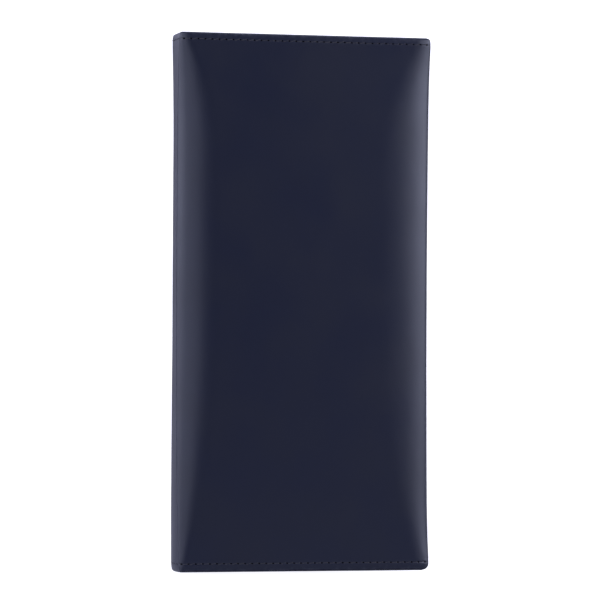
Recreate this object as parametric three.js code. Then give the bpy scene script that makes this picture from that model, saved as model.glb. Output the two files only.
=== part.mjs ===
// Travel document holder: a tall leather bi-fold, closed and lying on its back cover.
// Millimetres, +Z up. X runs from the spine to the opening edge, Y from the bottom to the top,
// and Z through the thickness. The origin is under the middle of the closed holder.
// Each half is built flat, outer face down, and the front half is turned over onto the back one.
import * as THREE from "three";

// Outside of the closed holder
const HEIGHT = 230;
const WIDTH = 110; // spine face to opening edge, halfway up
const EDGE_BOW = 1.2; // how much the opening edge draws in between its two seams
const CORNER_RADIUS = 2.5; // outer corners of the opening edge, seen from the front
const EDGE_ROUND = 0.6; // softened rim of the turned top and bottom hems

// Sheet thicknesses, outside to inside
const LEATHER = 1.0;
const BOARD = 0.8;
const LINING = 0.5;
const SLEEVE = 0.8;
const POCKET = 0.8;
const CARD_PANEL = 0.65;
const BOND = 0.1; // glue line between bonded sheets

// Rooms between the sheets
const FRONT_SLEEVE_DEPTH = 4.3; // what a passport or a bundle of tickets takes
const BACK_SLEEVE_DEPTH = 1.2; // a few loose papers
const POCKET_GAP = 0.3; // relaxed pocket
const LEAF_GAP = 0.5; // between the two pages when closed

// Soft spine: a quarter ellipse at each side of a flat strip, creased where the leather folds
const SPINE_ROLL_WIDTH = 12; // halfway up
const SPINE_ROLL_HEIGHT = 4.5;
const SEAM_SPINE_WIDTH = 5; // where a seam holds the corner tighter
const SEAM_SPINE_HEIGHT = 3;
const CREASE_ANGLE = 60; // degrees round the ellipse, from the cover to the crease
const CREASE_GAP = 0.3;

// Edge fold: the cover leather rolls round the opening edge and is turned in under the sleeve
const FRONT_ROLL_OUT = 13; // width of the outer roll, halfway up
const FRONT_ROLL_IN = 6;
const BACK_ROLL_OUT = 6;
const BACK_ROLL_IN = 3;
const SEAM_ROLL_OUT = 3.5; // width of the outer roll where a seam squeezes it
const SEAM_ROLL_IN = 2.5;
const TURN_IN = 16; // edge to the end of the turned-in leather
const FOLD_SLIT = 0.3; // air left inside the squeezed fold
const PINCH_LENGTH = 32; // seam to the full depth of the sleeve

// Hems and their seams
const HEM = 1.2; // leather turned round the ends of the board and lining
const SEAM_INSET = 3.2;
const STITCH_PITCH = 3.0;
const STITCH_RISE = 0.08; // crown of a stitch above its ends
const THREAD_WIDTH = 0.5;
const THREAD_HEIGHT = 0.3;
const THREAD_CLEARANCE = 0.2; // thread to the sides and floor of its groove

// Inside pages
const MOUTH_MARGIN = 0.5; // end of the spine's roll to the mouth of a sleeve
const SLEEVE_MARGIN = 4.4; // opening edge to the sleeve's own edge
const SLEEVE_END = 1.0; // hem end to the sleeve's end
const PAGE_MARGIN = 2.0; // sleeve's edge to the pockets sewn on it
const POCKET_FOOT = 3.0; // end of the seam's squeeze to a pocket's lower edge
const POCKET_CORNER = 3.0;
const PASS_HEIGHT = 128; // on the spine side
const PASS_SLANT = 24; // how much higher its mouth is at the opening edge
const CARD_SLOTS = 6;
const CARD_PITCH = 15;
const CARD_HEIGHT = 44;
const CARD_CLEARANCE = 0.2; // between a slot and the one it overlaps

// Small working values
const SHEET_CLEARANCE = 0.5; // edge of a board or lining to what stops it
const STEP = 0.06; // length of a sudden change along the height

// The front half has the deep sleeve and the pass pocket, the back half the thin one and the cards.
const FRONT = { sleeveDepth: FRONT_SLEEVE_DEPTH, rollOut: FRONT_ROLL_OUT, rollIn: FRONT_ROLL_IN };
const BACK = { sleeveDepth: BACK_SLEEVE_DEPTH, rollOut: BACK_ROLL_OUT, rollIn: BACK_ROLL_IN };

// Levels of one half, measured inwards from its outer face
const BOARD_LEVEL = LEATHER + BOND;
const LINING_LEVEL = BOARD_LEVEL + BOARD + BOND;
const STACK = LINING_LEVEL + LINING;
const FOLD_SEAM_LEVEL = Math.max(STACK, 2 * LEATHER + FOLD_SLIT); // fold squeezed at a seam
const THREAD_DEPTH = STITCH_RISE + THREAD_HEIGHT / 2; // thread's middle at a needle hole
const GROOVE_DEPTH = THREAD_DEPTH + THREAD_HEIGHT / 2 + THREAD_CLEARANCE;
const GROOVE_WIDTH = THREAD_WIDTH + 2 * THREAD_CLEARANCE;
const CARD_SLOPE = Math.asin((CARD_PANEL + CARD_CLEARANCE) / CARD_PITCH);
const CARD_STACK = CARD_HEIGHT * Math.sin(CARD_SLOPE) + CARD_PANEL * Math.cos(CARD_SLOPE);

function sleeveLevel(half) {
  return STACK + half.sleeveDepth;
}

function pageLevel(half) {
  return sleeveLevel(half) + SLEEVE + POCKET_GAP;
}

const THICKNESS = pageLevel(BACK) + CARD_STACK + LEAF_GAP + POCKET + pageLevel(FRONT);

// Places along the width and the height
const SPINE_X = -(WIDTH + EDGE_BOW) / 2;
const EDGE_X = SPINE_X + WIDTH;
const MOUTH_X = SPINE_X + SPINE_ROLL_WIDTH + MOUTH_MARGIN;
const SLEEVE_X = EDGE_X - SLEEVE_MARGIN;
const END_Y = HEIGHT / 2;
const SEAM_Y = END_Y - SEAM_INSET;
const SHEET_END_Y = END_Y - HEM - SHEET_CLEARANCE;
const FLAT_Y = SEAM_Y - PINCH_LENGTH;
const POCKET_FOOT_Y = -FLAT_Y + POCKET_FOOT;
const CREASE = THREE.MathUtils.degToRad(CREASE_ANGLE);
const QUARTER = Math.PI / 2;

// Finishes
const leather = new THREE.MeshStandardMaterial({ color: 0x222637, roughness: 0.42, metalness: 0 });
const innerLeather = new THREE.MeshStandardMaterial({ color: 0x24283a, roughness: 0.5, metalness: 0 });
const fibreboard = new THREE.MeshStandardMaterial({ color: 0x8c7a62, roughness: 0.9, metalness: 0 });
const liningCloth = new THREE.MeshStandardMaterial({ color: 0x1b2034, roughness: 0.85, metalness: 0 });
const sewingThread = new THREE.MeshStandardMaterial({ color: 0x2b2a44, roughness: 0.6, metalness: 0 });

// Shape helpers

const mix = THREE.MathUtils.lerp;

function range(count) {
  return Array.from({ length: count + 1 }, (_, i) => i / count);
}

// Turns a closed geometry so that its faces point out.
function facingOut(geometry) {
  const p = geometry.attributes.position;
  const index = geometry.index.array;
  const [a, b, c] = [new THREE.Vector3(), new THREE.Vector3(), new THREE.Vector3()];
  let volume = 0;
  for (let i = 0; i < index.length; i += 3) {
    a.fromBufferAttribute(p, index[i]);
    b.fromBufferAttribute(p, index[i + 1]);
    c.fromBufferAttribute(p, index[i + 2]);
    volume += a.dot(b.cross(c));
  }
  if (volume < 0) {
    for (let i = 0; i < index.length; i += 3) {
      [index[i + 1], index[i + 2]] = [index[i + 2], index[i + 1]];
    }
  }
  geometry.computeVertexNormals();
  return geometry;
}

// Solid through a row of outlines with equal numbers of points, closed by a flat cap at each end.
// place(i, u, v) gives the point in space of an outline's [u, v].
function loft(outlines, place) {
  const count = outlines[0].length;
  const last = outlines.length - 1;
  const points = outlines.flatMap((outline, i) => outline.map(([u, v]) => place(i, u, v)));
  const faces = [];
  for (let i = 0; i < last; i++) {
    for (let j = 0; j < count; j++) {
      const k = (j + 1) % count;
      const [a, b, c, d] = [i * count + j, i * count + k, (i + 1) * count + k, (i + 1) * count + j];
      faces.push(a, b, c, a, c, d);
    }
  }
  for (const [i, first] of [[0, true], [last, false]]) {
    const outline = outlines[i].map(([u, v]) => new THREE.Vector2(u, v));
    const sameWay = THREE.ShapeUtils.isClockWise(outline) === first;
    for (const [a, b, c] of THREE.ShapeUtils.triangulateShape(outline, [])) {
      const turned = sameWay ? [a, b, c] : [a, c, b];
      faces.push(...turned.map((n) => i * count + n));
    }
  }
  const geometry = new THREE.BufferGeometry().setFromPoints(points);
  geometry.setIndex(faces);
  return facingOut(geometry);
}

// Outline of a flat sheet with all four corners rounded.
function roundedSheet(left, bottom, right, top, radius, slant = 0) {
  const shape = new THREE.Shape();
  const corners = [[left, bottom], [right, bottom], [right, top + slant], [left, top]];
  corners.forEach(([x, y], i) => {
    const [px, py] = corners[(i + 3) % 4];
    const [nx, ny] = corners[(i + 1) % 4];
    const before = new THREE.Vector2(px - x, py - y).setLength(radius);
    const after = new THREE.Vector2(nx - x, ny - y).setLength(radius);
    if (i === 0) shape.moveTo(x + before.x, y + before.y);
    else shape.lineTo(x + before.x, y + before.y);
    shape.quadraticCurveTo(x, y, x + after.x, y + after.y);
  });
  shape.closePath();
  return shape;
}

function plate(shape, thickness) {
  const options = { depth: thickness, bevelEnabled: false, curveSegments: 4 };
  return new THREE.ExtrudeGeometry(shape, options);
}

function piece(group, name, geometry, material) {
  const mesh = new THREE.Mesh(geometry, material);
  mesh.name = name;
  group.add(mesh);
  return mesh;
}

// How the section of a half changes along its height

// 0 over the middle of the height, 1 at the seams and beyond.
function pinch(y) {
  return THREE.MathUtils.smoothstep(Math.abs(y), FLAT_Y, SEAM_Y);
}

// Depth of the leather's face below the plain outside: the stitch groove, and the rounded rim.
function faceDepth(y) {
  const height = Math.abs(y);
  if (Math.abs(height - SEAM_Y) <= GROOVE_WIDTH / 2) return GROOVE_DEPTH;
  const past = Math.max(0, height - (END_Y - EDGE_ROUND));
  return EDGE_ROUND - Math.sqrt(Math.max(0, EDGE_ROUND ** 2 - past ** 2));
}

// Depth of the leather's inner side: one thickness, but the whole stack where the hem is turned in.
function innerDepth(y) {
  return Math.abs(y) > END_Y - HEM ? STACK : LEATHER;
}

// How far the rounded corner cuts back the opening edge.
function cornerCut(y) {
  const past = Math.max(0, Math.abs(y) - (END_Y - CORNER_RADIUS));
  return CORNER_RADIUS - Math.sqrt(Math.max(0, CORNER_RADIUS ** 2 - past ** 2));
}

// Heights from the start of the seam's squeeze to the seam.
function pinchHeights() {
  return range(6).map((t) => mix(FLAT_Y, SEAM_Y, t));
}

// Heights at which a sewn leather sheet has a section, both ways from the middle.
function stations() {
  const changes = [SEAM_Y - GROOVE_WIDTH / 2, SEAM_Y + GROOVE_WIDTH / 2, END_Y - HEM];
  const heights = [
    ...[0.3, 0.65].map((t) => FLAT_Y * t),
    ...pinchHeights(),
    ...changes.flatMap((y) => [y - STEP / 2, y + STEP / 2]),
    ...[1, 0.6, 0.3].map((t) => END_Y - CORNER_RADIUS * t),
    ...[1, 0.5, 0.15, 0].map((t) => END_Y - EDGE_ROUND * t),
  ].sort((a, b) => a - b);
  return [...heights.map((y) => -y).reverse(), ...heights];
}

// Section of the leather at a height, as points [x, level]

// Part of the spine's ellipse at a height and a depth below the leather's face. It runs from the
// crease to the flat of the cover (toCover) or to the flat of the spine, leaving half the crease gap.
function spineRoll(y, depth, toCover, steps) {
  const width = mix(SPINE_ROLL_WIDTH, SEAM_SPINE_WIDTH, pinch(y));
  const height = mix(SPINE_ROLL_HEIGHT, SEAM_SPINE_HEIGHT, pinch(y));
  const slack = CREASE_GAP / 2 / Math.hypot(width * Math.cos(CREASE), height * Math.sin(CREASE));
  const [from, to] = toCover ? [CREASE - slack, 0] : [CREASE + slack, QUARTER];
  return range(steps).map((t) => {
    const angle = mix(from, to, t);
    return [
      SPINE_X + width - (width - depth) * Math.sin(angle),
      height - (height - depth) * Math.cos(angle),
    ];
  });
}

// Size and place of a half's edge fold at a height.
function edgeFold(half, y) {
  const squeeze = pinch(y);
  const top = mix(sleeveLevel(half) - BOND, FOLD_SEAM_LEVEL, squeeze);
  const x = EDGE_X + EDGE_BOW * Math.min(1, Math.abs(y) / SEAM_Y) ** 2 - cornerCut(y);
  const rollIn = mix(half.rollIn, SEAM_ROLL_IN, squeeze);
  return {
    x,
    top,
    middle: top / 2,
    rollOut: mix(half.rollOut, SEAM_ROLL_OUT, squeeze),
    rollIn,
    end: mix(EDGE_X - TURN_IN, x - rollIn - BOND, squeeze),
  };
}

// Line through a cover's leather at a depth below its face, from the crease round the edge fold.
function coverLine(half, y, depth) {
  const fold = edgeFold(half, y);
  const inFold = Math.min(depth, fold.middle - FOLD_SLIT / 2);
  const outer = range(6).map((t) => [
    fold.x - fold.rollOut + (fold.rollOut - inFold) * Math.sin(t * QUARTER),
    fold.middle - (fold.middle - inFold) * Math.cos(t * QUARTER),
  ]);
  const inner = range(4).slice(1).map((t) => [
    fold.x - fold.rollIn + (fold.rollIn - inFold) * Math.cos(t * QUARTER),
    fold.middle + (fold.top - fold.middle - inFold) * Math.sin(t * QUARTER),
  ]);
  return [
    ...spineRoll(y, depth, true, 5),
    [fold.x - fold.rollOut - SHEET_CLEARANCE, depth],
    ...outer,
    ...inner,
    [fold.end, fold.top - inFold],
  ];
}

// Part of a cover's face line that shows from outside: crease to the opening edge.
function outsideLine(half, y, depth) {
  const line = coverLine(half, y, depth);
  const edge = line.reduce((best, point, i) => (point[0] > line[best][0] ? i : best), 0);
  return line.slice(0, edge + 1);
}

// Line through the spine's leather at a depth, from the back crease to the front one, as [x, z].
function spineLine(y, depth) {
  const back = spineRoll(y, depth, false, 4);
  const front = back.map(([x, level]) => [x, THICKNESS - level]).reverse();
  return [...back, ...front];
}

// Leather sheet with hems and stitch grooves. lineAt(y, depth) gives its section's line at a depth.
function sewnSheet(lineAt) {
  const heights = stations();
  const outlines = heights.map((y) => [
    ...lineAt(y, faceDepth(y)),
    ...lineAt(y, innerDepth(y)).reverse(),
  ]);
  return loft(outlines, (i, x, level) => new THREE.Vector3(x, heights[i], level));
}

// Lining cloth from hem to hem, bonded at its depth along the same line as the leather.
function liningSheet(lineAt) {
  const heights = [...pinchHeights(), SHEET_END_Y];
  const all = [...heights.map((y) => -y).reverse(), ...heights];
  const outlines = all.map((y) => [...lineAt(y, LINING_LEVEL), ...lineAt(y, STACK).reverse()]);
  return loft(outlines, (i, x, level) => new THREE.Vector3(x, all[i], level));
}

// Pieces

// Stiffening board between a cover's leather and its lining.
function coverBoard() {
  const left = SPINE_X + SPINE_ROLL_WIDTH;
  const right = EDGE_X - TURN_IN - 2 * SHEET_CLEARANCE;
  const shape = roundedSheet(left, -SHEET_END_Y, right, SHEET_END_Y, CORNER_RADIUS);
  return plate(shape, BOARD).translate(0, 0, BOARD_LEVEL);
}

// Lining cloth, from the crease to where the cover's leather is turned in.
function coverLining() {
  const edge = EDGE_X - TURN_IN - SHEET_CLEARANCE;
  return liningSheet((y, depth) => [...spineRoll(y, depth, true, 5), [edge, depth]]);
}

// Full-height inside sleeve. It opens towards the spine, and the seams pinch its ends shut.
function sleeve(half) {
  const heights = [...pinchHeights(), END_Y - SLEEVE_END];
  const all = [...heights.map((y) => -y).reverse(), ...heights];
  const outlines = all.map((y) => {
    const lower = mix(sleeveLevel(half), FOLD_SEAM_LEVEL + BOND, pinch(y));
    const upper = lower + SLEEVE;
    return [[MOUTH_X, lower], [SLEEVE_X, lower], [SLEEVE_X, upper], [MOUTH_X, upper]];
  });
  return loft(outlines, (i, x, level) => new THREE.Vector3(x, all[i], level));
}

// Flat pocket for boarding passes with a slanted mouth, face down on the turned front half.
function passPocket() {
  const shape = roundedSheet(
    MOUTH_X + PAGE_MARGIN, POCKET_FOOT_Y,
    SLEEVE_X - PAGE_MARGIN, POCKET_FOOT_Y + PASS_HEIGHT,
    POCKET_CORNER, PASS_SLANT,
  );
  return plate(shape, POCKET).rotateX(Math.PI).translate(0, 0, pageLevel(FRONT) + POCKET);
}

// One card slot at its slope: its lower edge on the page, its mouth over the foot of the slot above.
function cardSlot() {
  const shape = roundedSheet(
    MOUTH_X + PAGE_MARGIN, 0, SLEEVE_X - PAGE_MARGIN, CARD_HEIGHT, POCKET_CORNER,
  );
  return plate(shape, CARD_PANEL).rotateX(CARD_SLOPE);
}

// Strip that stiffens the flat of the spine.
function spineBoard() {
  const shape = roundedSheet(
    SPINE_ROLL_HEIGHT, -SHEET_END_Y, THICKNESS - SPINE_ROLL_HEIGHT, SHEET_END_Y, SHEET_CLEARANCE,
  );
  return plate(shape, BOARD).rotateY(-QUARTER).translate(SPINE_X + BOARD_LEVEL + BOARD, 0, 0);
}

// Sewing thread in a stitch groove: one cord that dips at every needle hole of its line.
function seamThread(line, y) {
  const path = new THREE.CurvePath();
  const points = line.map(([x, level]) => new THREE.Vector2(x, level));
  points.slice(1).forEach((point, i) => path.add(new THREE.LineCurve(points[i], point)));
  const stitches = Math.round(path.getLength() / STITCH_PITCH);
  const section = [[0, -1], [1, 0], [0, 1], [-1, 0]];
  const rings = range(2 * stitches).map((t, i) => {
    const along = path.getTangentAt(t);
    const out = new THREE.Vector2(along.y, -along.x);
    const middle = path.getPointAt(t).addScaledVector(out, i % 2 ? STITCH_RISE : 0);
    return { middle, out };
  });
  return loft(rings.map(() => section), (i, u, v) => {
    const { middle, out } = rings[i];
    const point = middle.clone().addScaledVector(out, (u * THREAD_HEIGHT) / 2);
    return new THREE.Vector3(point.x, y + (v * THREAD_WIDTH) / 2, point.y);
  });
}

// The seams of one leather piece: a thread along its top hem and one along its bottom hem.
function seams(group, side, line, topY) {
  piece(group, `${side}_top_thread`, seamThread(line, topY), sewingThread);
  piece(group, `${side}_bottom_thread`, seamThread(line, -topY), sewingThread);
}

// What both halves share, outer face down. topY is where the holder's top seam lies in this half.
function coverHalf(side, half, topY) {
  const group = new THREE.Group();
  piece(group, `${side}_cover`, sewnSheet((y, depth) => coverLine(half, y, depth)), leather);
  piece(group, `${side}_board`, coverBoard(), fibreboard);
  piece(group, `${side}_lining`, coverLining(), liningCloth);
  piece(group, `${side}_sleeve`, sleeve(half), innerLeather);
  seams(group, side, outsideLine(half, SEAM_Y, THREAD_DEPTH), topY);
  return group;
}

// Assembly

const backHalf = coverHalf("back", BACK, SEAM_Y);
for (let i = 0; i < CARD_SLOTS; i++) {
  const slot = piece(backHalf, `card_slot_${i + 1}`, cardSlot(), innerLeather);
  slot.position.set(0, POCKET_FOOT_Y + (CARD_SLOTS - 1 - i) * CARD_PITCH, pageLevel(BACK));
}

const spine = new THREE.Group();
piece(spine, "spine_cover", sewnSheet(spineLine), leather);
piece(spine, "spine_board", spineBoard(), fibreboard);
piece(spine, "spine_lining", liningSheet(spineLine), liningCloth);
seams(spine, "spine", spineLine(SEAM_Y, THREAD_DEPTH), SEAM_Y);

// Turned over along its width, so its own -Y end is the holder's top.
const frontHalf = coverHalf("front", FRONT, -SEAM_Y);
piece(frontHalf, "pass_pocket", passPocket(), innerLeather);
frontHalf.rotation.x = Math.PI;
frontHalf.position.z = THICKNESS;

const holder = new THREE.Group();
holder.add(backHalf, spine, frontHalf);

export default holder;
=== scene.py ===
# A closed travel document holder of navy leather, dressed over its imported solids.
# Shapes are worked out in millimetres and brought to metres when a piece is finished.
# X runs from the spine to the opening edge, Y from the bottom to the top, Z through the thickness.
import bisect
import math
import random
from collections import namedtuple

import bmesh
import bpy
from mathutils import Matrix, Vector, noise


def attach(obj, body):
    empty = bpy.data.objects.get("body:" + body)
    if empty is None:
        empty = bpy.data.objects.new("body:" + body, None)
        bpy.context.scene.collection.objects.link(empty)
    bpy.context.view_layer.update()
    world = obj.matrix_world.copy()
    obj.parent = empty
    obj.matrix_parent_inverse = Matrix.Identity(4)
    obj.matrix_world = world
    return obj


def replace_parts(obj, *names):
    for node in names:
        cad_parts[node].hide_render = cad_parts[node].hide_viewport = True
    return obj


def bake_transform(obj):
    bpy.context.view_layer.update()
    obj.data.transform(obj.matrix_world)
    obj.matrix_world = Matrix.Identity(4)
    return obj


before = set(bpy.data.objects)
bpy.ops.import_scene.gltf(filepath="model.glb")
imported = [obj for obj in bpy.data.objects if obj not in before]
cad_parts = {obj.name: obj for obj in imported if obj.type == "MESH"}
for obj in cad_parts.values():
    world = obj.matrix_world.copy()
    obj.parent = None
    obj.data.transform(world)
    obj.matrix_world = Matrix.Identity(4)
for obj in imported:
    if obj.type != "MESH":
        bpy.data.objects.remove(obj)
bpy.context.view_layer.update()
scene = bpy.context.scene
scene.view_settings.view_transform = "Standard"

MM = 0.001

# Camera: high over the front cover and leaning to the spine side
CAMERA_DISTANCE = 1.5
CAMERA_LEAN = math.radians(14.12)
CAMERA_TILT = math.radians(-0.945)
CAMERA_ROLL = math.radians(0.279)
CAMERA_LENS = 210.1
CAMERA_TARGET = Vector((0, 0, 0.017))
CAMERA_AIM = (-0.00237, 0.00117)  # across and up the picture, from the target

# Lamps, all at one distance from the middle of the holder
LAMP_DISTANCE = 1.3
LAMP_COLOUR = (0.96, 0.97, 1.08)
LEFT = Vector((-1, 0, 0))
RIGHT = Vector((1, 0, 0))
BEHIND = Vector((0, 1, 0))

# Floor and surroundings
FLOOR_REACH = 6
FLOOR_DROP = 0.0002  # below the holder, whose leather isn't quite flat
FLOOR_COLOUR = (0.64, 0.65, 0.76, 1)
FLOOR_GLOW = 0.8  # makes it white to the camera
STUDIO_COLOUR = (0.025, 0.025, 0.026, 1)
WHITE = (1, 1, 1, 1)

# Outside of the closed holder
HEIGHT = 230
WIDTH = 110
THICKNESS = 17.142289  # as the solids have it
EDGE_BOW = 1.2  # how much the opening edge draws in between its seams
EDGE_FULLNESS = 0.5  # how much of that the swollen fold makes up
TOP_CORNER = 1.1
BOTTOM_CORNER = 2.6

# Sheet thicknesses
LEATHER = 1.0
LINING = 0.5
SLEEVE = 0.8
POCKET = 0.8
CARD_PANEL = 0.65
BOND = 0.1
STACK = 2.5  # leather, board and lining together
LEAST_PARED = 0.2  # share of the leather that is left where it is pared over a board
LEAST_FOLDED = 0.04  # and where it is squeezed in an edge fold
PARING_MARGIN = 1  # past the board's edges

# Soft spine: its rolls halfway up, at the top seam and at the bottom seam
SPINE_ROLL_WIDTH = 18
SPINE_ROLL_HEIGHT = 4.7
SpineSeam = namedtuple("SpineSeam", "width height bulge")  # bulge: of the spine's face past its corners
TOP_SPINE = SpineSeam(width=5, height=1.6, bulge=0)
BOTTOM_SPINE = SpineSeam(width=2.8, height=0.6, bulge=1.0)
SPINE_CORNER = 0.3  # least height of the roll of an inner layer
SPINE_BEND = 1.4  # 1 bends a roll evenly, more bends it mostly at the spine's face

# Edge folds
SEAM_ROLL_OUT = 7
SEAM_ROLL_IN = 2.5
TURN_IN = 16
FOLD_SLIT = 0.3
PINCH_LENGTH = 32
TOP_TIGHTENING = 48  # from a seam to where the rolls have their full width
BOTTOM_TIGHTENING = 105

# Hems and seams
SEAM_INSET = 3.2  # where the sheets are pinched
TOP_SEAM_INSET = 3.0  # where the stitches lie
BOTTOM_SEAM_INSET = 3.6
SEAM_DIP = 0.06  # how deep the seam draws the leather in
SEAM_DIP_WIDTH = 0.6
HEM_DROOP = 0.22  # from the seam to the rim
RIM_DEPTH = 0.6  # where the rim is lightened most: wear and painted highlight
RIM_WIDTH = 0.7
RIM_WEAR_AND_HIGHLIGHT = 0.8

# Stitches
Stitch = namedtuple("Stitch", "pitch length width height")
HEM_STITCH = Stitch(pitch=3.07, length=2.1, width=0.45, height=0.34)
FINE_STITCH = Stitch(pitch=2.6, length=1.9, width=0.4, height=0.3)  # inside
STITCH_LEAN = 0.26  # across the row, from the middle of a stitch to its end
STITCH_STRAY = 0.06
STITCH_RISE = 0.35  # of a stitch's height, at its middle
STITCH_DIVE = 1.6  # from its middle to its ends, in rises
NEEDLE_HOLE = 0.42

# Unevenness of the sheets: how deep and how wide their waves are
WAVE_DEPTH = 0.05
HIDE_WAVE = 22
LINING_WAVE = 12
PANEL_WAVE = 18
RIPPLE_DEPTH = 0.02
RIPPLE = 7
PUCKER_DEPTH = 0.04  # along a seam
PUCKER = 2.2
PUCKER_REACH = 2.5
HIDE_SEED = 3
LINING_SEED = 11

# Inside pages
BOARD_INSET = 12
MOUTH_INSET = 12.5
SLEEVE_MARGIN = 4.4
SLEEVE_END = 1.0
PAGE_MARGIN = 2.0
POCKET_GAP = 0.3
POCKET_FOOT = 3.0
POCKET_CORNER = 3.0
PASS_HEIGHT = 128
PASS_SLANT = 24
CARD_SLOTS = 6
CARD_PITCH = 15
CARD_HEIGHT = 44
CARD_CLEARANCE = 0.2
SHEET_CLEARANCE = 0.5
HEM = 1.2
BORDER = 1.7  # creased line and stitches, from a panel's edge
BORDER_DEPTH = 0.1
BORDER_WIDTH = 0.45
PANEL_WEAR_AND_HIGHLIGHT_WIDTH = 1.0
PANEL_ROUNDING = 0.3  # of a panel's edges, as a share of its thickness

# Fineness of the meshes
HEM_STRIP = 3  # inside a seam, where the close rows of a hem begin
SPINE_FACE_STEPS = 8
HIDE_ROLL_STEPS = 20
LINING_ROLL_STEPS = 16
PANEL_SPACING = 3.0
SHARP_ANGLE = math.radians(50)
ROUNDED_ANGLE = math.radians(60)

# Halves, with the room under their sleeves and the two rolls of their edge folds
Half = namedtuple("Half", "name sleeve_depth roll_out roll_in")
FRONT = Half("front", sleeve_depth=4.3, roll_out=22, roll_in=6)
BACK = Half("back", sleeve_depth=1.2, roll_out=6, roll_in=3)

# Places
SPINE_X = -(WIDTH + EDGE_BOW) / 2
EDGE_X = SPINE_X + WIDTH
MOUTH_X = SPINE_X + MOUTH_INSET
SLEEVE_X = EDGE_X - SLEEVE_MARGIN
END_Y = HEIGHT / 2
SEAM_Y = END_Y - SEAM_INSET
FLAT_Y = SEAM_Y - PINCH_LENGTH
SHEET_END_Y = END_Y - HEM - SHEET_CLEARANCE
POCKET_FOOT_Y = -FLAT_Y + POCKET_FOOT
TOP_SEAM_Y = END_Y - TOP_SEAM_INSET
BOTTOM_SEAM_Y = -END_Y + BOTTOM_SEAM_INSET
BOARD_X = SPINE_X + BOARD_INSET
BOARD_END_X = EDGE_X - TURN_IN - 2 * SHEET_CLEARANCE


def mix(a, b, t):
    return a + (b - a) * t


def steps(count):
    return [i / count for i in range(count + 1)]


def bump(distance, width):
    return math.exp(-((distance / width) ** 2))


# Stage


def add_object(name, data):
    added = bpy.data.objects.new(name, data)
    scene.collection.objects.link(added)
    return added


def add_camera():
    cos_tilt = math.cos(CAMERA_TILT)
    to_camera = Vector((
        -math.sin(CAMERA_LEAN) * cos_tilt, math.sin(CAMERA_TILT), math.cos(CAMERA_LEAN) * cos_tilt,
    ))
    across = Vector((0, 1, 0)).cross(to_camera).normalized()
    up = to_camera.cross(across)
    turn = Matrix.Rotation(CAMERA_ROLL, 3, to_camera)
    across, up = turn @ across, turn @ up
    eye = CAMERA_TARGET + to_camera * CAMERA_DISTANCE
    aim = CAMERA_TARGET + across * CAMERA_AIM[0] + up * CAMERA_AIM[1]
    back = (eye - aim).normalized()
    across = up.cross(back).normalized()
    up = back.cross(across)
    data = bpy.data.cameras.new("camera")
    data.lens = CAMERA_LENS
    data.sensor_width = 36
    camera = add_object("camera", data)
    camera.matrix_world = Matrix.Translation(eye) @ Matrix((across, up, back)).transposed().to_4x4()
    scene.camera = camera


add_camera()


def put(tree, kind, inputs=None, **settings):
    """Adds a node. inputs maps a socket's name or number to a value or to another node's output."""
    node = tree.nodes.new(kind)
    for name, value in settings.items():
        setattr(node, name, value)
    for socket, value in (inputs or {}).items():
        if isinstance(value, bpy.types.NodeSocket):
            tree.links.new(value, node.inputs[socket])
        else:
            node.inputs[socket].default_value = value
    return node


def calc(tree, operation, a, b=0.0):
    return put(tree, "ShaderNodeMath", {0: a, 1: b}, operation=operation).outputs[0]


def remap(tree, value, low, high, to_low=0.0, to_high=1.0):
    inputs = {"Value": value, "From Min": low, "From Max": high, "To Min": to_low, "To Max": to_high}
    return put(tree, "ShaderNodeMapRange", inputs, interpolation_type="SMOOTHSTEP").outputs[0]


def blend_colour(tree, factor, a, b):
    inputs = {"Factor": factor, "A": a, "B": b}
    return put(tree, "ShaderNodeMix", inputs, data_type="RGBA").outputs["Result"]


def new_material(name, **constants):
    material = bpy.data.materials.new(name)
    material.use_nodes = True
    surface = material.node_tree.nodes["Principled BSDF"]
    for socket, value in constants.items():
        surface.inputs[socket.replace("_", " ")].default_value = value
    return material, material.node_tree, surface


def add_floor():
    bm = bmesh.new()
    bmesh.ops.create_grid(bm, x_segments=1, y_segments=1, size=FLOOR_REACH)
    mesh = bpy.data.meshes.new("floor")
    bm.to_mesh(mesh)
    bm.free()
    floor = add_object("floor", mesh)
    floor.location.z = -FLOOR_DROP
    material, tree, surface = new_material(
        "white_floor",
        Base_Color=FLOOR_COLOUR, Roughness=0.9, Specular_IOR_Level=0, Emission_Strength=1,
    )
    path = put(tree, "ShaderNodeLightPath")
    seen = calc(tree, "MULTIPLY", path.outputs["Is Camera Ray"], FLOOR_GLOW)
    glow = put(tree, "ShaderNodeCombineColor", {channel: seen for channel in range(3)})
    tree.links.new(glow.outputs[0], surface.inputs["Emission Color"])
    mesh.materials.append(material)


def add_softbox(name, towards, lowest, highest, ends, level):
    """A flat lamp that faces the holder from a side, between two elevations in degrees and two ends."""
    elevation = math.radians((lowest + highest) / 2)
    along = Vector((abs(towards.y), abs(towards.x), 0))
    away = towards * math.cos(elevation) + Vector((0, 0, math.sin(elevation)))
    light = bpy.data.lights.new(name, "AREA")
    light.color = LAMP_COLOUR
    light.shape = "RECTANGLE"
    light.size = 2 * LAMP_DISTANCE * math.tan(math.radians(highest - lowest) / 2)
    light.size_y = ends[1] - ends[0]
    light.energy = level * math.pi * light.size * light.size_y
    turn = Matrix((along.cross(away), along, away)).transposed().to_4x4()
    box = add_object(name, light)
    box.matrix_world = Matrix.Translation(away * LAMP_DISTANCE + along * sum(ends) / 2) @ turn


def add_world():
    world = bpy.data.worlds.new("studio")
    world.use_nodes = True
    scene.world = world
    tree = world.node_tree
    background = tree.nodes["Background"]
    path = put(tree, "ShaderNodeLightPath")
    tree.links.new(
        blend_colour(tree, path.outputs["Is Camera Ray"], STUDIO_COLOUR, WHITE),
        background.inputs["Color"],
    )


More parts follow.
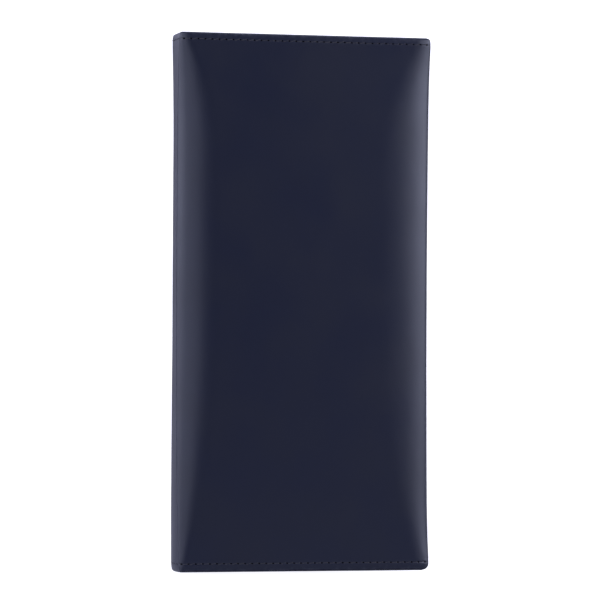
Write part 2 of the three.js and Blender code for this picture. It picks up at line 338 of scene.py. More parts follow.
add_floor()
add_world()
add_softbox("left_low_softbox", LEFT, 1, 19, (-0.1, 1), 4.0)
add_softbox("left_softbox", LEFT, 21, 51, (0, 1), 4.2)
add_softbox("left_fill", LEFT, 16, 51, (-1, 0), 0.85)
add_softbox("left_high_fill", LEFT, 51, 81, (-1, 1), 1.4)
add_softbox("near_fill", RIGHT, 62, 90, (-1, -0.15), 0.4)
add_softbox("right_low_softbox", RIGHT, 1, 11, (-0.5, 0.8), 2.0)
add_softbox("right_softbox", RIGHT, 21, 58, (0, 1), 5.2)
add_softbox("right_fill", RIGHT, 21, 51, (-1, 0), 1.2)
add_softbox("back_softbox", BEHIND, 4, 24, (-0.6, 0.6), 1.6)


# Materials


def new_group(name, inputs, outputs):
    """A node group with named sockets. Inputs and outputs map a name to its socket type."""
    group = bpy.data.node_groups.new(name, "ShaderNodeTree")
    for socket, kind in inputs.items():
        group.interface.new_socket(socket, in_out="INPUT", socket_type=kind)
    for socket, kind in outputs.items():
        group.interface.new_socket(socket, in_out="OUTPUT", socket_type=kind)
    return group, put(group, "NodeGroupInput").outputs, put(group, "NodeGroupOutput").inputs


VALUE = "NodeSocketFloat"
VECTOR = "NodeSocketVector"


def make_leather_grain():
    """Fine creased grain with pores, and the slow mottling of a dyed hide. Places are in millimetres."""
    group, given, out = new_group(
        "leather_grain",
        {"Place": VECTOR, "Cell": VALUE},
        {"Height": VALUE, "Mottle": VALUE, "Pores": VALUE},
    )
    per_cell = calc(group, "DIVIDE", 1.0, given["Cell"])
    wander = put(group, "ShaderNodeTexNoise", {"Vector": given["Place"], "Scale": 0.9, "Detail": 3})
    bent = put(
        group, "ShaderNodeMix",
        {"Factor": 0.35, "A": given["Place"], "B": wander.outputs["Color"]}, data_type="VECTOR",
    )
    cells = put(
        group, "ShaderNodeTexVoronoi",
        {"Vector": bent.outputs[1], "Scale": per_cell}, feature="DISTANCE_TO_EDGE",
    )
    creases = remap(group, cells.outputs["Distance"], 0.0, 0.22)
    fine = put(group, "ShaderNodeTexNoise", {"Vector": given["Place"], "Scale": 4.0, "Detail": 4})
    swell = put(group, "ShaderNodeTexNoise", {"Vector": given["Place"], "Scale": 0.22, "Detail": 2})
    spots = put(group, "ShaderNodeTexVoronoi", {"Vector": given["Place"], "Scale": 0.1})
    pores = remap(group, spots.outputs["Distance"], 0.012, 0.03, 1.0, 0.0)
    group.links.new(pores, out["Pores"])
    creases = calc(group, "SUBTRACT", creases, calc(group, "MULTIPLY", pores, 4.0))
    height = calc(group, "ADD", creases, calc(group, "MULTIPLY", fine.outputs[0], 0.6))
    height = calc(group, "ADD", height, calc(group, "MULTIPLY", swell.outputs[0], 1.5))
    group.links.new(height, out["Height"])
    slow = put(group, "ShaderNodeTexNoise", {"Vector": given["Place"], "Scale": 0.035, "Detail": 5})
    group.links.new(remap(group, slow.outputs[0], 0.3, 0.7), out["Mottle"])
    return group


def make_seam_marks():
    """Masks for the needle holes of a seam, which get painted shade, and for its drawn-in line, along a row
    of the cutting plan.
    """
    group, given, out = new_group(
        "seam_marks",
        {"Along": VALUE, "Off": VALUE, "Pitch": VALUE, "Hole": VALUE},
        {"Holes": VALUE, "Line": VALUE},
    )
    turns = calc(group, "DIVIDE", given["Along"], given["Pitch"])
    to_hole = calc(group, "MULTIPLY", calc(group, "PINGPONG", turns, 0.5), given["Pitch"])
    stretch = calc(group, "MULTIPLY", to_hole, 0.8)
    across = calc(group, "MULTIPLY", given["Off"], 1.15)
    squares = [calc(group, "POWER", part, 2.0) for part in (stretch, across)]
    distance = calc(group, "SQRT", calc(group, "ADD", *squares))
    hole = remap(group, calc(group, "DIVIDE", distance, given["Hole"]), 0.55, 1.0, 1.0, 0.0)
    group.links.new(hole, out["Holes"])
    line = remap(group, calc(group, "ABSOLUTE", given["Off"]), 0.0, 0.45, 1.0, 0.0)
    group.links.new(line, out["Line"])
    return group


def make_wear_and_highlight_mask():
    """Wear and painted highlight on corners and rims: an amount broken up by a patchy noise."""
    group, given, out = new_group("rubbed", {"Amount": VALUE, "Place": VECTOR}, {"Wear": VALUE})
    patchy = put(group, "ShaderNodeTexNoise", {"Vector": given["Place"], "Scale": 0.6, "Detail": 5})
    broken = calc(group, "ADD", given["Amount"], calc(group, "SUBTRACT", patchy.outputs[0], 0.5))
    group.links.new(remap(group, broken, 0.45, 1.0), out["Wear"])
    return group


def make_weave():
    """Plain woven cloth: two crossing sets of yarns, with painted shade in the gaps between them. Yarn is
    their spacing in millimetres.
    """
    group, given, out = new_group(
        "weave", {"Place": VECTOR, "Yarn": VALUE}, {"Height": VALUE, "Shade": VALUE},
    )
    parts = put(group, "ShaderNodeSeparateXYZ", {"Vector": given["Place"]})
    waves = []
    for axis in ("X", "Y"):
        yarns = calc(group, "DIVIDE", parts.outputs[axis], given["Yarn"])
        waves.append(calc(group, "SINE", calc(group, "MULTIPLY", yarns, math.pi)))
    crossing = calc(group, "MULTIPLY", waves[0], waves[1])
    warp = calc(group, "MULTIPLY", calc(group, "ABSOLUTE", waves[0]), remap(group, crossing, -0.3, 0.3))
    weft = calc(group, "MULTIPLY", calc(group, "ABSOLUTE", waves[1]), remap(group, crossing, 0.3, -0.3))
    height = calc(group, "MAXIMUM", warp, weft)
    group.links.new(height, out["Height"])
    uneven = put(group, "ShaderNodeTexNoise", {"Vector": given["Place"], "Scale": 0.5, "Detail": 4})
    # Shade follows the yarns' height, so the gaps between them get painted shade, faded unevenly
    fading = remap(group, uneven.outputs[0], 0.2, 0.8, 0.7, 1.0)
    group.links.new(calc(group, "MULTIPLY", height, fading), out["Shade"])
    return group


leather_grain = make_leather_grain()
seam_marks = make_seam_marks()
rubbed = make_wear_and_highlight_mask()
weave = make_weave()


def place_group(tree, group, **inputs):
    sockets = {name.title(): value for name, value in inputs.items()}
    return put(tree, "ShaderNodeGroup", sockets, node_tree=group).outputs


def add_bump(tree, surface, height):
    """Height is in millimetres."""
    relief = put(tree, "ShaderNodeBump", {"Height": height, "Distance": MM, "Strength": 1.0})
    tree.links.new(relief.outputs[0], surface.inputs["Normal"])


def make_leather(name, colour, roughness, cell, relief, seam_rows=()):
    """Dyed leather with painted shade in its pores and in the needle holes of seams, which run across the
    cutting plan at seam_rows.
    """
    material, tree, surface = new_material(name, Specular_Tint=(0.82, 0.85, 1.0, 1))
    plan = put(tree, "ShaderNodeUVMap", uv_map="plan").outputs[0]
    grain = place_group(tree, leather_grain, place=plan, cell=cell)
    amount = put(tree, "ShaderNodeAttribute", attribute_name="rub").outputs["Fac"]
    wear_and_highlight = place_group(tree, rubbed, amount=amount, place=plan)["Wear"]
    parts = put(tree, "ShaderNodeSeparateXYZ", {"Vector": plan})
    holes, lines = 0.0, 0.0
    for row in seam_rows:
        off = calc(tree, "SUBTRACT", parts.outputs["Y"], row)
        marks = place_group(
            tree, seam_marks,
            along=parts.outputs["X"], off=off, pitch=HEM_STITCH.pitch, hole=NEEDLE_HOLE,
        )
        holes = calc(tree, "MAXIMUM", marks["Holes"], holes)
        lines = calc(tree, "MAXIMUM", marks["Line"], lines)
    dark = [c * 0.82 for c in colour]
    base = blend_colour(tree, grain["Mottle"], (*dark, 1), (*colour, 1))
    # Painted shade darkens the pores
    base = blend_colour(tree, calc(tree, "MULTIPLY", grain["Pores"], 0.6), base, PORE_SHADE_COLOUR)
    # Lightens rubbed rims and panel edges: partly wear, partly painted highlight
    base = blend_colour(tree, calc(tree, "MULTIPLY", wear_and_highlight, 0.5), base, (*WORN_AND_HIGHLIGHT_NAVY, 1))
    rough = calc(tree, "ADD", roughness, calc(tree, "MULTIPLY", grain["Mottle"], -0.04))
    rough = calc(tree, "ADD", rough, calc(tree, "MULTIPLY", wear_and_highlight, 0.06))
    height = calc(tree, "MULTIPLY", grain["Height"], relief)
    if seam_rows:
        # Paints shade into the needle holes: near-black where the holes are
        base = blend_colour(tree, holes, base, HOLE_SHADE_COLOUR)
        rough = calc(tree, "ADD", rough, calc(tree, "MULTIPLY", holes, 0.4))
        height = calc(tree, "SUBTRACT", height, calc(tree, "MULTIPLY", lines, 0.05))
        height = calc(tree, "SUBTRACT", height, calc(tree, "MULTIPLY", holes, 0.15))
        # Takes the sheen off the holes so that only their painted shade shows: a metal as dark as this
        # reflects next to nothing
        tree.links.new(holes, surface.inputs["Metallic"])
    tree.links.new(base, surface.inputs["Base Color"])
    tree.links.new(rough, surface.inputs["Roughness"])
    add_bump(tree, surface, height)
    return material


NAVY = (0.0050, 0.0071, 0.0208)
POCKET_NAVY = (0.0115, 0.0145, 0.031)
WORN_AND_HIGHLIGHT_NAVY = (0.040, 0.044, 0.065)
PORE_SHADE_COLOUR = (0.001, 0.001, 0.002, 1)
HOLE_SHADE_COLOUR = (0.001, 0.001, 0.0015, 1)
cover_leather = make_leather(
    "cover_leather", NAVY, roughness=0.34, cell=0.55, relief=0.006, seam_rows=(TOP_SEAM_Y, BOTTOM_SEAM_Y),
)
pocket_leather = make_leather("pocket_leather", POCKET_NAVY, roughness=0.5, cell=0.7, relief=0.010)


def make_edge_paint():
    material, tree, surface = new_material("edge_paint", Base_Color=(0.006, 0.007, 0.012, 1))
    place = put(tree, "ShaderNodeTexCoord").outputs["Object"]
    ripple = put(tree, "ShaderNodeTexNoise", {"Vector": place, "Scale": 900.0, "Detail": 3})
    tree.links.new(remap(tree, ripple.outputs[0], 0.2, 0.8, 0.25, 0.45), surface.inputs["Roughness"])
    add_bump(tree, surface, calc(tree, "MULTIPLY", ripple.outputs[0], 0.03))
    return material


def make_lining_cloth():
    material, tree, surface = new_material("lining_cloth", Roughness=0.85, Sheen_Weight=0.15)
    plan = put(tree, "ShaderNodeUVMap", uv_map="plan").outputs[0]
    cloth = place_group(tree, weave, place=plan, yarn=0.45)
    # Painted shade darkens the gaps between the yarns
    tree.links.new(
        blend_colour(tree, cloth["Shade"], (0.004, 0.005, 0.011, 1), (0.016, 0.020, 0.044, 1)),
        surface.inputs["Base Color"],
    )
    add_bump(tree, surface, calc(tree, "MULTIPLY", cloth["Height"], 0.08))
    return material


def make_fibreboard():
    material, tree, surface = new_material("fibreboard", Roughness=0.9)
    place = put(tree, "ShaderNodeTexCoord").outputs["Object"]
    fibres = put(
        tree, "ShaderNodeTexNoise",
        {"Vector": place, "Scale": 700.0, "Detail": 6, "Distortion": 1.5},
    )
    tree.links.new(
        blend_colour(tree, fibres.outputs[0], (0.16, 0.12, 0.08, 1), (0.34, 0.27, 0.19, 1)),
        surface.inputs["Base Color"],
    )
    add_bump(tree, surface, calc(tree, "MULTIPLY", fibres.outputs[0], 0.05))
    return material


def make_thread(name, dark, light):
    """Two-ply thread: plies run slantwise round the stitch, with painted shade in the grooves between them.
    """
    material, tree, surface = new_material(name, Roughness=0.6, Sheen_Weight=0.08)
    plan = put(tree, "ShaderNodeUVMap", uv_map="plan").outputs[0]
    parts = put(tree, "ShaderNodeSeparateXYZ", {"Vector": plan})
    slant = calc(tree, "ADD", calc(tree, "MULTIPLY", parts.outputs["X"], 1.6), parts.outputs["Y"])
    ply = calc(tree, "MULTIPLY", calc(tree, "PINGPONG", slant, 0.5), 2.0)
    # Painted shade: darker where the plies dip
    tree.links.new(blend_colour(tree, ply, (*dark, 1), (*light, 1)), surface.inputs["Base Color"])
    add_bump(tree, surface, calc(tree, "MULTIPLY", ply, 0.05))
    return material


edge_paint = make_edge_paint()
lining_cloth = make_lining_cloth()
fibreboard = make_fibreboard()
sewing_thread = make_thread("sewing_thread", (0.006, 0.006, 0.013), (0.018, 0.018, 0.034))
pocket_thread = make_thread("pocket_thread", (0.024, 0.026, 0.044), (0.060, 0.063, 0.095))


# Section of a half at a height. Levels run inwards from its outer face.


def at(half, x, y, level):
    return Vector((x, y, level if half is BACK else THICKNESS - level))


def outward(half):
    return Vector((0, 0, -1 if half is BACK else 1))


def sleeve_level(half):
    return STACK + half.sleeve_depth


def page_level(half):
    return sleeve_level(half) + SLEEVE + POCKET_GAP


def swell(y, length):
    """Pillow shape between the seams: 1 at a seam, falling to 0 at a length from it."""
    free = min(1, max(0, (SEAM_Y - abs(y)) / length))
    return (1 - free) ** 2


def pinch(y):
    """0 over the middle of the height, 1 at the seams and beyond."""
    return swell(y, PINCH_LENGTH)


def tighten(y):
    """0 where the rolls have their full width, 1 at the seams and beyond."""
    return swell(y, TOP_TIGHTENING if y > 0 else BOTTOM_TIGHTENING)


def corner_cut(y):
    """How far a round corner draws the opening edge in."""
    radius = TOP_CORNER if y > 0 else BOTTOM_CORNER
    past = min(radius, max(0, abs(y) - (END_Y - radius)))
    return radius - math.sqrt(radius**2 - past**2)


Fold = namedtuple("Fold", "x top middle roll_out roll_in end")


def edge_fold(half, y):
    """The leather's fold at the opening edge: its outermost x, levels, rolls and the turn-in's end."""
    squeeze = pinch(y)
    top = mix(sleeve_level(half) - BOND, STACK, squeeze)
    x = EDGE_X + mix(EDGE_FULLNESS, EDGE_BOW, min(1, abs(y) / SEAM_Y) ** 2) - corner_cut(y)
    roll_in = mix(half.roll_in, SEAM_ROLL_IN, squeeze)
    end = mix(EDGE_X - TURN_IN, x - SEAM_ROLL_OUT + SHEET_CLEARANCE, squeeze)
    return Fold(x, top, top / 2, mix(half.roll_out, SEAM_ROLL_OUT, tighten(y)), roll_in, end)


def spine_line(y, depth, roll_steps):
    """From the middle of the spine to the flat of a cover, as (x, level)."""
    seam = TOP_SPINE if y > 0 else BOTTOM_SPINE
    width = mix(SPINE_ROLL_WIDTH, seam.width, tighten(y))
    height = max(mix(SPINE_ROLL_HEIGHT, seam.height, tighten(y)), depth + SPINE_CORNER)
    bulge = seam.bulge * tighten(y)
    face = [(SPINE_X + depth, mix(height, THICKNESS / 2, (1 - t) ** 2)) for t in steps(SPINE_FACE_STEPS)]
    roll = []
    for t in steps(roll_steps)[1:]:
        angle = mix(math.pi / 2, 0, t)
        x = SPINE_X + width - (width - depth) * math.sin(angle)
        roll.append((x, height - (height - depth) * math.cos(angle) ** SPINE_BEND))
    return [(x + bulge * (1 - level / (THICKNESS / 2)) ** 2, level) for x, level in face + roll]


def hide_line(half, y, depth):
    """Outer face of the leather at a depth: half the spine, the cover, the edge fold and the turn-in."""
    line = spine_line(y, depth, HIDE_ROLL_STEPS)
    fold = edge_fold(half, y)
    sunk = min(depth, fold.middle - FOLD_SLIT / 2)
    start, end = line[-1][0], fold.x - fold.roll_out
    line += [(mix(start, end, t), mix(depth, sunk, t**12)) for t in steps(110)[1:]]
    for t in steps(18)[1:]:
        angle = t * math.pi / 2
        x = end + (fold.roll_out - sunk) * math.sin(angle)
        line.append((x, fold.middle - (fold.middle - sunk) * math.cos(angle)))
    for t in steps(12)[1:]:
        angle = t * math.pi / 2
        x = fold.x - fold.roll_in + (fold.roll_in - sunk) * math.cos(angle)
        line.append((x, fold.middle + (fold.middle - sunk) * math.sin(angle)))
    inner_end = line[-1][0]
    line += [(mix(inner_end, min(inner_end - 0.05, fold.end), t), fold.top - sunk) for t in steps(8)[1:]]
    return line


# Building pieces


def hem_rows():
    """Rows of a hide from its middle to the end of its turned hem, as (y, depth, length along the hide)."""
    dense = SEAM_Y - HEM_STRIP
    rows = [(FLAT_Y * t, 0) for t in steps(16)]
    rows += [(mix(FLAT_Y, dense, t), 0) for t in steps(18)[1:]]
    radius = (STACK - HEM_DROOP) / 2
    rim = END_Y - radius
    for t in steps(20)[1:]:
        y = mix(dense, rim, t)
        rows.append((y, HEM_DROOP * max(0, (y - SEAM_Y) / (rim - SEAM_Y)) ** 2))
    for t in steps(10)[1:]:
        angle = t * math.pi
        rows.append((rim + radius * math.sin(angle), HEM_DROOP + radius - radius * math.cos(angle)))
    length, measured = 0, [(*rows[0], 0)]
    for before, row in zip(rows, rows[1:]):
        length += math.dist(before, row)
        measured.append((*row, length))
    return measured


def grid_of(rows, plan, rub=None, walls=None):
    """A grid moved to rows of places. plan gives each point's place on the flat cutting plan."""
    across, along = len(rows[0]) - 1, len(rows) - 1
    bm = bmesh.new()
    bmesh.ops.create_grid(bm, x_segments=across, y_segments=along, size=1)
    uv = bm.loops.layers.uv.new("plan")
    wear_and_highlight_layer = bm.verts.layers.float.new("rub")
    weights = bm.verts.layers.deform.new("wall")
    spots = {}
    for vert in bm.verts:
        spot = (round((vert.co.y + 1) / 2 * along), round((vert.co.x + 1) / 2 * across))
        spots[vert] = spot
        vert.co = rows[spot[0]][spot[1]]
        vert[wear_and_highlight_layer] = rub[spot[0]][spot[1]] if rub else 0
        vert[weights][0] = walls[spot[0]][spot[1]] if walls else 1
    for face in bm.faces:
        for loop in face.loops:
            row, column = spots[loop.vert]
            loop[uv].uv = plan[row][column]
    return bm


def face_towards(bm, direction):
    """Turns a sheet so that most of it faces a direction."""
    bm.normal_update()
    if sum(face.normal.dot(direction) * face.calc_area() for face in bm.faces) < 0:
        bmesh.ops.reverse_faces(bm, faces=bm.faces[:])
        bm.normal_update()


def displace(bm, amount):
    """Moves points along their normals by amount(plan place)."""
    uv = bm.loops.layers.uv["plan"]
    moves = [(vert, vert.normal.copy(), amount(vert.link_loops[0][uv].uv)) for vert in bm.verts]
    for vert, normal, distance in moves:
        vert.co += normal * distance


def mark_sharp(bm):
    for face in bm.faces:
        face.smooth = True
    for edge in bm.edges:
        edge.smooth = edge.is_manifold and edge.calc_face_angle() < SHARP_ANGLE


def finish_piece(bm, name, *materials):
    bmesh.ops.scale(bm, vec=(MM, MM, MM), verts=bm.verts[:])
    mark_sharp(bm)
    mesh = bpy.data.meshes.new(name)
    bm.to_mesh(mesh)
    bm.free()
    for material in materials:
        mesh.materials.append(material)
    return add_object(name, mesh)


def give_thickness(piece, thickness):
    """Thickens a soft sheet to the side that its faces don't show."""
    wall = piece.modifiers.new("thickness", "SOLIDIFY")
    wall.thickness = thickness * MM
    wall.offset = -1
    piece.vertex_groups.new(name="wall")
    wall.vertex_group = "wall"


def bend_at_crease(piece, half):
    """Bakes the piece's placement into its mesh, the same for either half."""
    if half is FRONT:
        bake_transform(piece)
    else:
        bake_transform(piece)


def lengths(points):
    total, found = 0, [0]
    for a, b in zip(points, points[1:]):
        total += (b - a).length
        found.append(total)
    return found


def slow_wave(u, v, size, seed):
    return noise.noise(Vector((u / size, v / size, seed)))


def make_hide(half):
    """One half of the cover leather, folded from a flat sheet, with its seams drawn in."""
    upper = hem_rows()
    hem = [(-y, depth, -length) for y, depth, length in reversed(upper[1:])] + upper
    rows, plan, rub, walls = [], [], [], []
    for y, depth, length in hem:
        fold = edge_fold(half, y)
        room = min(1, max(LEAST_FOLDED, (fold.middle - depth) / LEATHER))
        line = hide_line(half, y, depth)
        points = [at(half, x, y, level) for x, level in line]
        first, last = BOARD_X - PARING_MARGIN, BOARD_END_X + PARING_MARGIN
        over_board = [level if first < x < last else 0 for x, level in line]
        pared = [min(1, max(LEAST_PARED, 1 + (BOND - level) / LEATHER)) for level in over_board]
        walls.append([wall if point.x < BOARD_END_X else room for wall, point in zip(pared, points)])
        across = lengths(points)
        rows.append(points)
        plan.append([(u, length) for u in across])
        # The hem's rim is lightened: wear and painted highlight
        rim = bump(depth - RIM_DEPTH, RIM_WIDTH) if depth > 0 else 0
        rub.append([rim * RIM_WEAR_AND_HIGHLIGHT for _ in across])
    bm = grid_of(rows, plan, rub, walls)
    face_towards(bm, outward(half))

    def dent(place):
        u, v = place
        off = min(abs(v - TOP_SEAM_Y), abs(v - BOTTOM_SEAM_Y))
        drawn = 0.75 + 0.25 * math.cos(2 * math.pi * u / HEM_STITCH.pitch)
        pucker = PUCKER_DEPTH * slow_wave(u, v, PUCKER, HIDE_SEED) * bump(off, PUCKER_REACH)
        wave = WAVE_DEPTH * slow_wave(u, v, HIDE_WAVE, HIDE_SEED)
        wave += RIPPLE_DEPTH * slow_wave(u, v, RIPPLE, HIDE_SEED)
        return wave + pucker - SEAM_DIP * drawn * bump(off, SEAM_DIP_WIDTH)

    displace(bm, dent)
    piece = finish_piece(bm, f"{half.name}_hide", cover_leather)
    give_thickness(piece, LEATHER)
    bend_at_crease(piece, half)
    return piece


front_hide = make_hide(FRONT)
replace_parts(front_hide, "front_cover", "spine_cover")
back_hide = make_hide(BACK)
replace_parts(back_hide, "back_cover")


def make_lining(half):
    """Lining cloth from the middle of the spine to the turned-in leather."""
    edge = EDGE_X - TURN_IN - SHEET_CLEARANCE
    rows, plan = [], []
    for y in [mix(-SHEET_END_Y, SHEET_END_Y, t) for t in steps(90)]:
        line = spine_line(y, STACK, LINING_ROLL_STEPS)
        start = line[-1][0]
        line += [(mix(start, edge, t), STACK) for t in steps(30)[1:]]
        points = [at(half, x, y, level) for x, level in line]
        rows.append(points)
        plan.append([(u, y) for u in lengths(points)])
    bm = grid_of(rows, plan)
    face_towards(bm, -outward(half))
    displace(bm, lambda spot: WAVE_DEPTH * slow_wave(*spot, LINING_WAVE, LINING_SEED) - WAVE_DEPTH)
    piece = finish_piece(bm, f"{half.name}_lining_cloth", lining_cloth)
    give_thickness(piece, LINING - BOND)
    bend_at_crease(piece, half)
    return piece


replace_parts(make_lining(FRONT), "front_lining", "spine_lining")
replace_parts(make_lining(BACK), "back_lining")


# Inside panels


def spread(length):
    """Grid lines over a panel's length, closer together over its corners."""
    near = [POCKET_CORNER * (1 - math.cos(t * math.pi / 2)) for t in steps(7)]
    count = max(1, round((length - 2 * POCKET_CORNER) / PANEL_SPACING))
    middle = [mix(POCKET_CORNER, length - POCKET_CORNER, t) for t in steps(count)][1:-1]
    return near + middle + [length - d for d in reversed(near)]


def rounded(u, v, width, height):
    """Pulls a point of a panel in at its corners, so that they are round."""
    cu = min(max(u, POCKET_CORNER), width - POCKET_CORNER)
    cv = min(max(v, POCKET_CORNER), height - POCKET_CORNER)
    reach = math.hypot(u - cu, v - cv)
    if reach == 0:
        return u, v
    shrink = max(abs(u - cu), abs(v - cv)) / reach
    return cu + (u - cu) * shrink, cv + (v - cv) * shrink


def make_panel(half, name, width, height, place, thickness):
    """Leather panel with round corners and painted edges. place(u, v) puts its face in a half."""
    us = spread(width)
    rows, plan, rub = [], [], []
    for v in spread(height):
        spots = [rounded(u, v, width, height) for u in us]
        rows.append([place(*spot) for spot in spots])
        plan.append(spots)
        # A panel's edges are lightened: wear and painted highlight
        rub.append([bump(min(u, width - u, v, height - v), PANEL_WEAR_AND_HIGHLIGHT_WIDTH) for u in us])
    bm = grid_of(rows, plan, rub)
    face_towards(bm, -outward(half))

    def crease(spot):
        u, v = spot
        off = min(u, width - u, v, height - v) - BORDER
        return WAVE_DEPTH * slow_wave(u, v, PANEL_WAVE, len(name)) - BORDER_DEPTH * bump(off, BORDER_WIDTH)

    displace(bm, crease)
    bmesh.ops.solidify(bm, geom=bm.faces[:], thickness=thickness)
    bm.normal_update()
    for face in bm.faces:
        if abs(face.normal.z) < 0.5:
            face.material_index = 1
    edges = [edge for edge in bm.edges if edge.is_manifold and edge.calc_face_angle() > ROUNDED_ANGLE]
    bmesh.ops.bevel(
        bm, geom=edges, offset=thickness * PANEL_ROUNDING, segments=2, profile=0.5,
        affect="EDGES", material=-1,
    )
    piece = finish_piece(bm, name, pocket_leather, edge_paint)
    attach(piece, half.name)
    return piece


def sleeve_place(half):
    def place(u, v):
        y = v - (END_Y - SLEEVE_END)
        level = mix(sleeve_level(half), STACK + BOND, pinch(y)) + SLEEVE
        return at(half, MOUTH_X + u, y, level)
    return place


SLEEVE_WIDTH = SLEEVE_X - MOUTH_X
SLEEVE_HEIGHT = 2 * (END_Y - SLEEVE_END)
PAGE_WIDTH = SLEEVE_WIDTH - 2 * PAGE_MARGIN
PAGE_X = MOUTH_X + PAGE_MARGIN
CARD_SLOPE = math.asin((CARD_PANEL + CARD_CLEARANCE) / CARD_PITCH)


def pass_place(u, v):
    lift = v / PASS_HEIGHT * PASS_SLANT * u / PAGE_WIDTH
    return at(FRONT, PAGE_X + u, POCKET_FOOT_Y + v + lift, page_level(FRONT) + POCKET)


def card_place(number):
    foot = POCKET_FOOT_Y + (CARD_SLOTS - number) * CARD_PITCH

    def place(u, v):
        y = foot + v * math.cos(CARD_SLOPE) - CARD_PANEL * math.sin(CARD_SLOPE)
        level = page_level(BACK) + v * math.sin(CARD_SLOPE) + CARD_PANEL * math.cos(CARD_SLOPE)
        return at(BACK, PAGE_X + u, y, level)
    return place


for half in (FRONT, BACK):
    sleeve = make_panel(
        half, f"{half.name}_sleeve_panel", SLEEVE_WIDTH, SLEEVE_HEIGHT, sleeve_place(half), SLEEVE,
    )
    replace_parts(sleeve, f"{half.name}_sleeve")

pass_panel = make_panel(FRONT, "pass_pocket_panel", PAGE_WIDTH, PASS_HEIGHT, pass_place, POCKET)
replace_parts(pass_panel, "pass_pocket")
for number in range(1, CARD_SLOTS + 1):
    card = make_panel(
        BACK, f"card_slot_panel_{number}", PAGE_WIDTH, CARD_HEIGHT, card_place(number), CARD_PANEL,
    )
    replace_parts(card, f"card_slot_{number}")


# Stitches

Path = namedtuple("Path", "points normals lengths")


def make_path(points, normals):
    return Path(points, normals, lengths(points))


def along_path(path, s):
    s = min(max(s, 0), path.lengths[-1])
    i = min(max(bisect.bisect(path.lengths, s) - 1, 0), len(path.points) - 2)
    t = (s - path.lengths[i]) / (path.lengths[i + 1] - path.lengths[i])
    point = path.points[i].lerp(path.points[i + 1], t)
    normal = path.normals[i].lerp(path.normals[i + 1], t).normalized()
    return point, (path.points[i + 1] - path.points[i]).normalized(), normal


def sew(bm, path, stitch):
    """A row of stitches along a path, each one bent to it and diving into its needle holes."""
    uv = bm.loops.layers.uv["plan"]
    count = int(path.lengths[-1] / stitch.pitch)
    hand = random.Random(count)
    for number in range(count):
        middle = (number + 0.5) * stitch.pitch
        lean = STITCH_LEAN * hand.uniform(0.4, 1.6)
        stray = hand.uniform(-STITCH_STRAY, STITCH_STRAY)
        made = bmesh.ops.create_uvsphere(bm, u_segments=6, v_segments=7, radius=1)["verts"]
        faces = {face for vert in made for face in vert.link_faces}
        for face in faces:
            for loop in face.loops:
                x, y, z = loop.vert.co
                loop[uv].uv = (z * stitch.length / 2, math.atan2(y, x) / (2 * math.pi))
        for vert in made:
            x, y, z = vert.co
            point, tangent, normal = along_path(path, middle + z * stitch.length / 2)
            side = tangent.cross(normal)
            # Fills a ball out to a stub of thread with blunt ends
            full = math.sqrt(max(0, 1 - z**6)) / max(0.2, math.sqrt(max(0, 1 - z * z)))
            rise = (1 - STITCH_DIVE * z * z) * stitch.height * STITCH_RISE
            lift = rise + x * full * stitch.height / 2
            aside = y * full * stitch.width / 2 + z * lean + stray
            vert.co = point + normal * lift + side * aside


def new_seam():
    bm = bmesh.new()
    bm.loops.layers.uv.new("plan")
    return bm


def line_normals(points, outwards):
    """Normals of a line that lies across the height, on its left or right."""
    found = []
    for i in range(len(points)):
        tangent = points[min(i + 1, len(points) - 1)] - points[max(i - 1, 0)]
        found.append(tangent.cross(Vector((0, 1, 0))).normalized() * outwards)
    return found


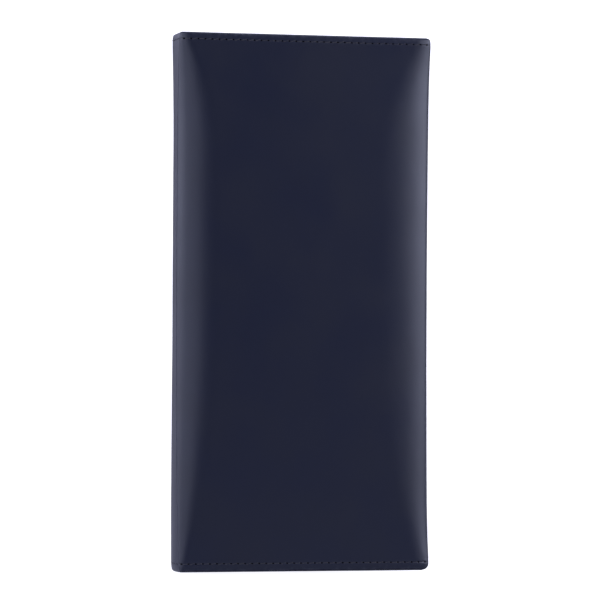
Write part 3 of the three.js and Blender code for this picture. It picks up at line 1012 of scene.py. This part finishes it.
def make_seam(half):
    """Both hem seams of a half: outside from the middle of the spine round the opening edge, and inside."""
    bm = new_seam()
    sign = -1 if half is FRONT else 1
    for y in (TOP_SEAM_Y, BOTTOM_SEAM_Y):
        outside = [at(half, x, y, level) for x, level in hide_line(half, y, SEAM_DIP)]
        sew(bm, make_path(outside, line_normals(outside, sign)), HEM_STITCH)
        gutter = [at(half, x, y, level) for x, level in spine_line(y, STACK, LINING_ROLL_STEPS)]
        gutter = [point for point in gutter if point.x < MOUTH_X - 1]
        sew(bm, make_path(gutter, line_normals(gutter, -sign)), HEM_STITCH)
        sleeve_face = STACK + BOND + SLEEVE
        on_sleeve = [at(half, x, y, sleeve_face) for x in (MOUTH_X + 0.5, SLEEVE_X - 0.5)]
        sew(bm, make_path(on_sleeve, line_normals(on_sleeve, -sign)), HEM_STITCH)
    bmesh.ops.recalc_face_normals(bm, faces=bm.faces[:])
    piece = finish_piece(bm, f"{half.name}_seam_stitches", sewing_thread)
    bend_at_crease(piece, half)
    return piece


front_seam = make_seam(FRONT)
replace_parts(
    front_seam, "front_top_thread", "front_bottom_thread", "spine_top_thread", "spine_bottom_thread",
)
back_seam = make_seam(BACK)
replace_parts(back_seam, "back_top_thread", "back_bottom_thread")


def sew_panel(bm, half, place, rows):
    """Fine stitches over a panel. rows lists (start, end) on its cutting plan."""
    for start, end in rows:
        points = [place(mix(start[0], end[0], t), mix(start[1], end[1], t)) for t in steps(40)]
        sew(bm, make_path(points, [-outward(half)] * len(points)), FINE_STITCH)


def side_rows(low, high):
    return [((u, low), (u, high)) for u in (BORDER, PAGE_WIDTH - BORDER)]


def cross_row(v):
    return (BORDER, v), (PAGE_WIDTH - BORDER, v)


def finish_inside_seam(bm, half):
    edge = SLEEVE_WIDTH - BORDER
    low = SEAM_INSET + 2 * BORDER
    high = SLEEVE_HEIGHT - SEAM_INSET - 2 * BORDER
    sew_panel(bm, half, sleeve_place(half), [((edge, low), (edge, high))])
    bmesh.ops.recalc_face_normals(bm, faces=bm.faces[:])
    piece = finish_piece(bm, f"{half.name}_pocket_stitches", pocket_thread)
    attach(piece, half.name)


pass_mouth = PASS_HEIGHT - BORDER
pass_seam = new_seam()
rows = [cross_row(BORDER), cross_row(pass_mouth), *side_rows(2 * BORDER, pass_mouth - BORDER)]
sew_panel(pass_seam, FRONT, pass_place, rows)
finish_inside_seam(pass_seam, FRONT)

card_mouth = CARD_HEIGHT - BORDER
card_seam = new_seam()
for number in range(1, CARD_SLOTS):
    rows = [cross_row(card_mouth), *side_rows(CARD_HEIGHT - CARD_PITCH + BORDER, card_mouth - BORDER)]
    sew_panel(card_seam, BACK, card_place(number), rows)
rows = [cross_row(BORDER), cross_row(card_mouth), *side_rows(2 * BORDER, card_mouth - BORDER)]
sew_panel(card_seam, BACK, card_place(CARD_SLOTS), rows)
finish_inside_seam(card_seam, BACK)

for name in ("front_board", "back_board", "spine_board"):
    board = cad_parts[name]
    board.data.materials.clear()
    board.data.materials.append(fibreboard)
